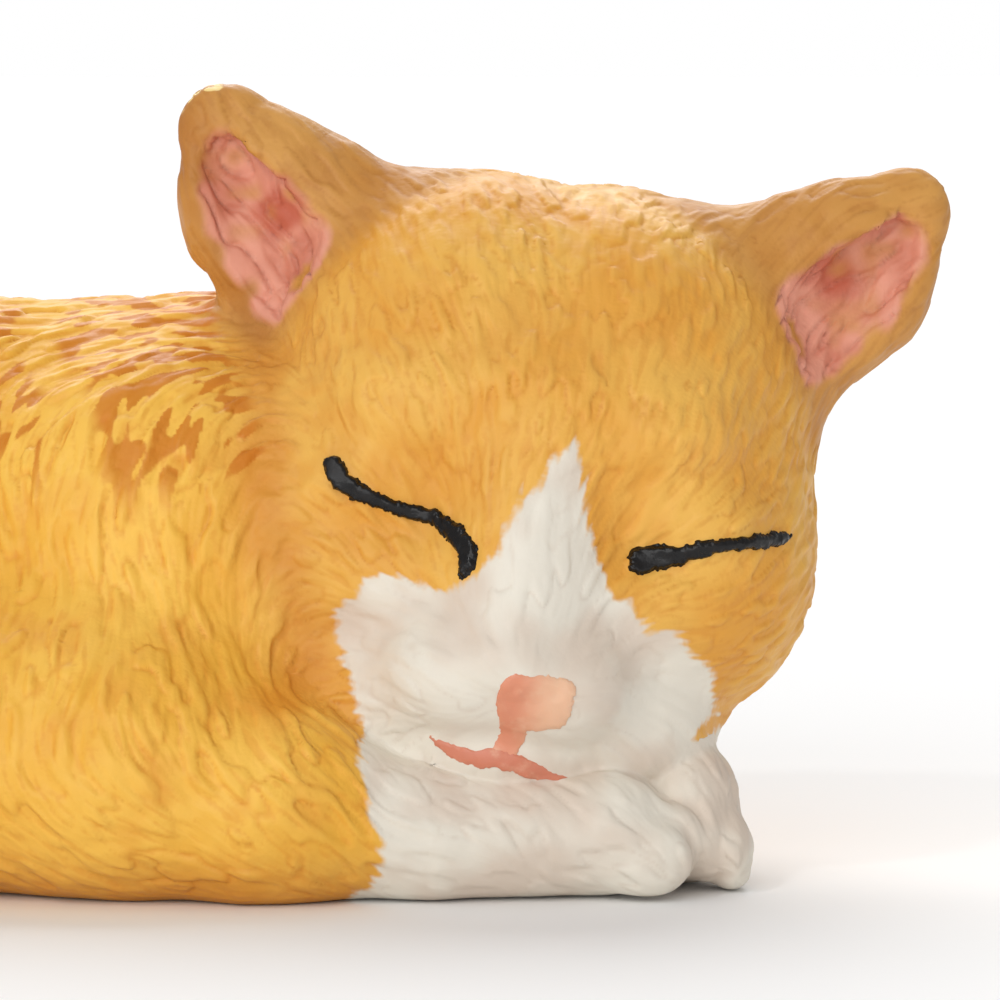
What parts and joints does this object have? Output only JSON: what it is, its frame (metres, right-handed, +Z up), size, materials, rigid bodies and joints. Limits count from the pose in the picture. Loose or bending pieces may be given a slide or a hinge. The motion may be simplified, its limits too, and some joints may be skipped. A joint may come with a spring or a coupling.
{
  "type": "sleeping cat figurine",
  "caption": "Small painted figurine of a sleeping ginger and white cat, lying on its belly with its turned head resting on its folded front paws; free-standing, on a flat base.",
  "frame": {"origin": "centre of the bounding box on the surface the figurine lies on", "axes": "+X along the body towards the head end, -Y the side the face looks to, +Z up"},
  "size_m": [0.074, 0.0378, 0.0347],
  "materials": {
    "ginger_coat": "satin cold-painted ginger, lighter on the belly and flank, with brown dry-brushed stripes",
    "head_coat": "satin cold-painted ginger with a raised white blaze and muzzle",
    "ear_coat": "satin ginger outside, dusty pink inside",
    "white_paws": "satin off-white paws, ginger upper legs",
    "black_enamel": "gloss black, thickly applied",
    "pink_enamel": "satin salmon pink, thickly applied"
  },
  "bodies": {
    "root": {"torso": "ginger_coat", "head": "head_coat", "ear_right": "ear_coat", "ear_left": "ear_coat", "foreleg_right": "white_paws", "foreleg_left": "white_paws", "hind_leg_right": "ginger_coat", "hind_leg_left": "ginger_coat", "tail": "ginger_coat", "eye_line_right": "black_enamel", "eye_line_left": "black_enamel", "nose": "pink_enamel", "mouth": "pink_enamel"}
  },
  "joints": []
}
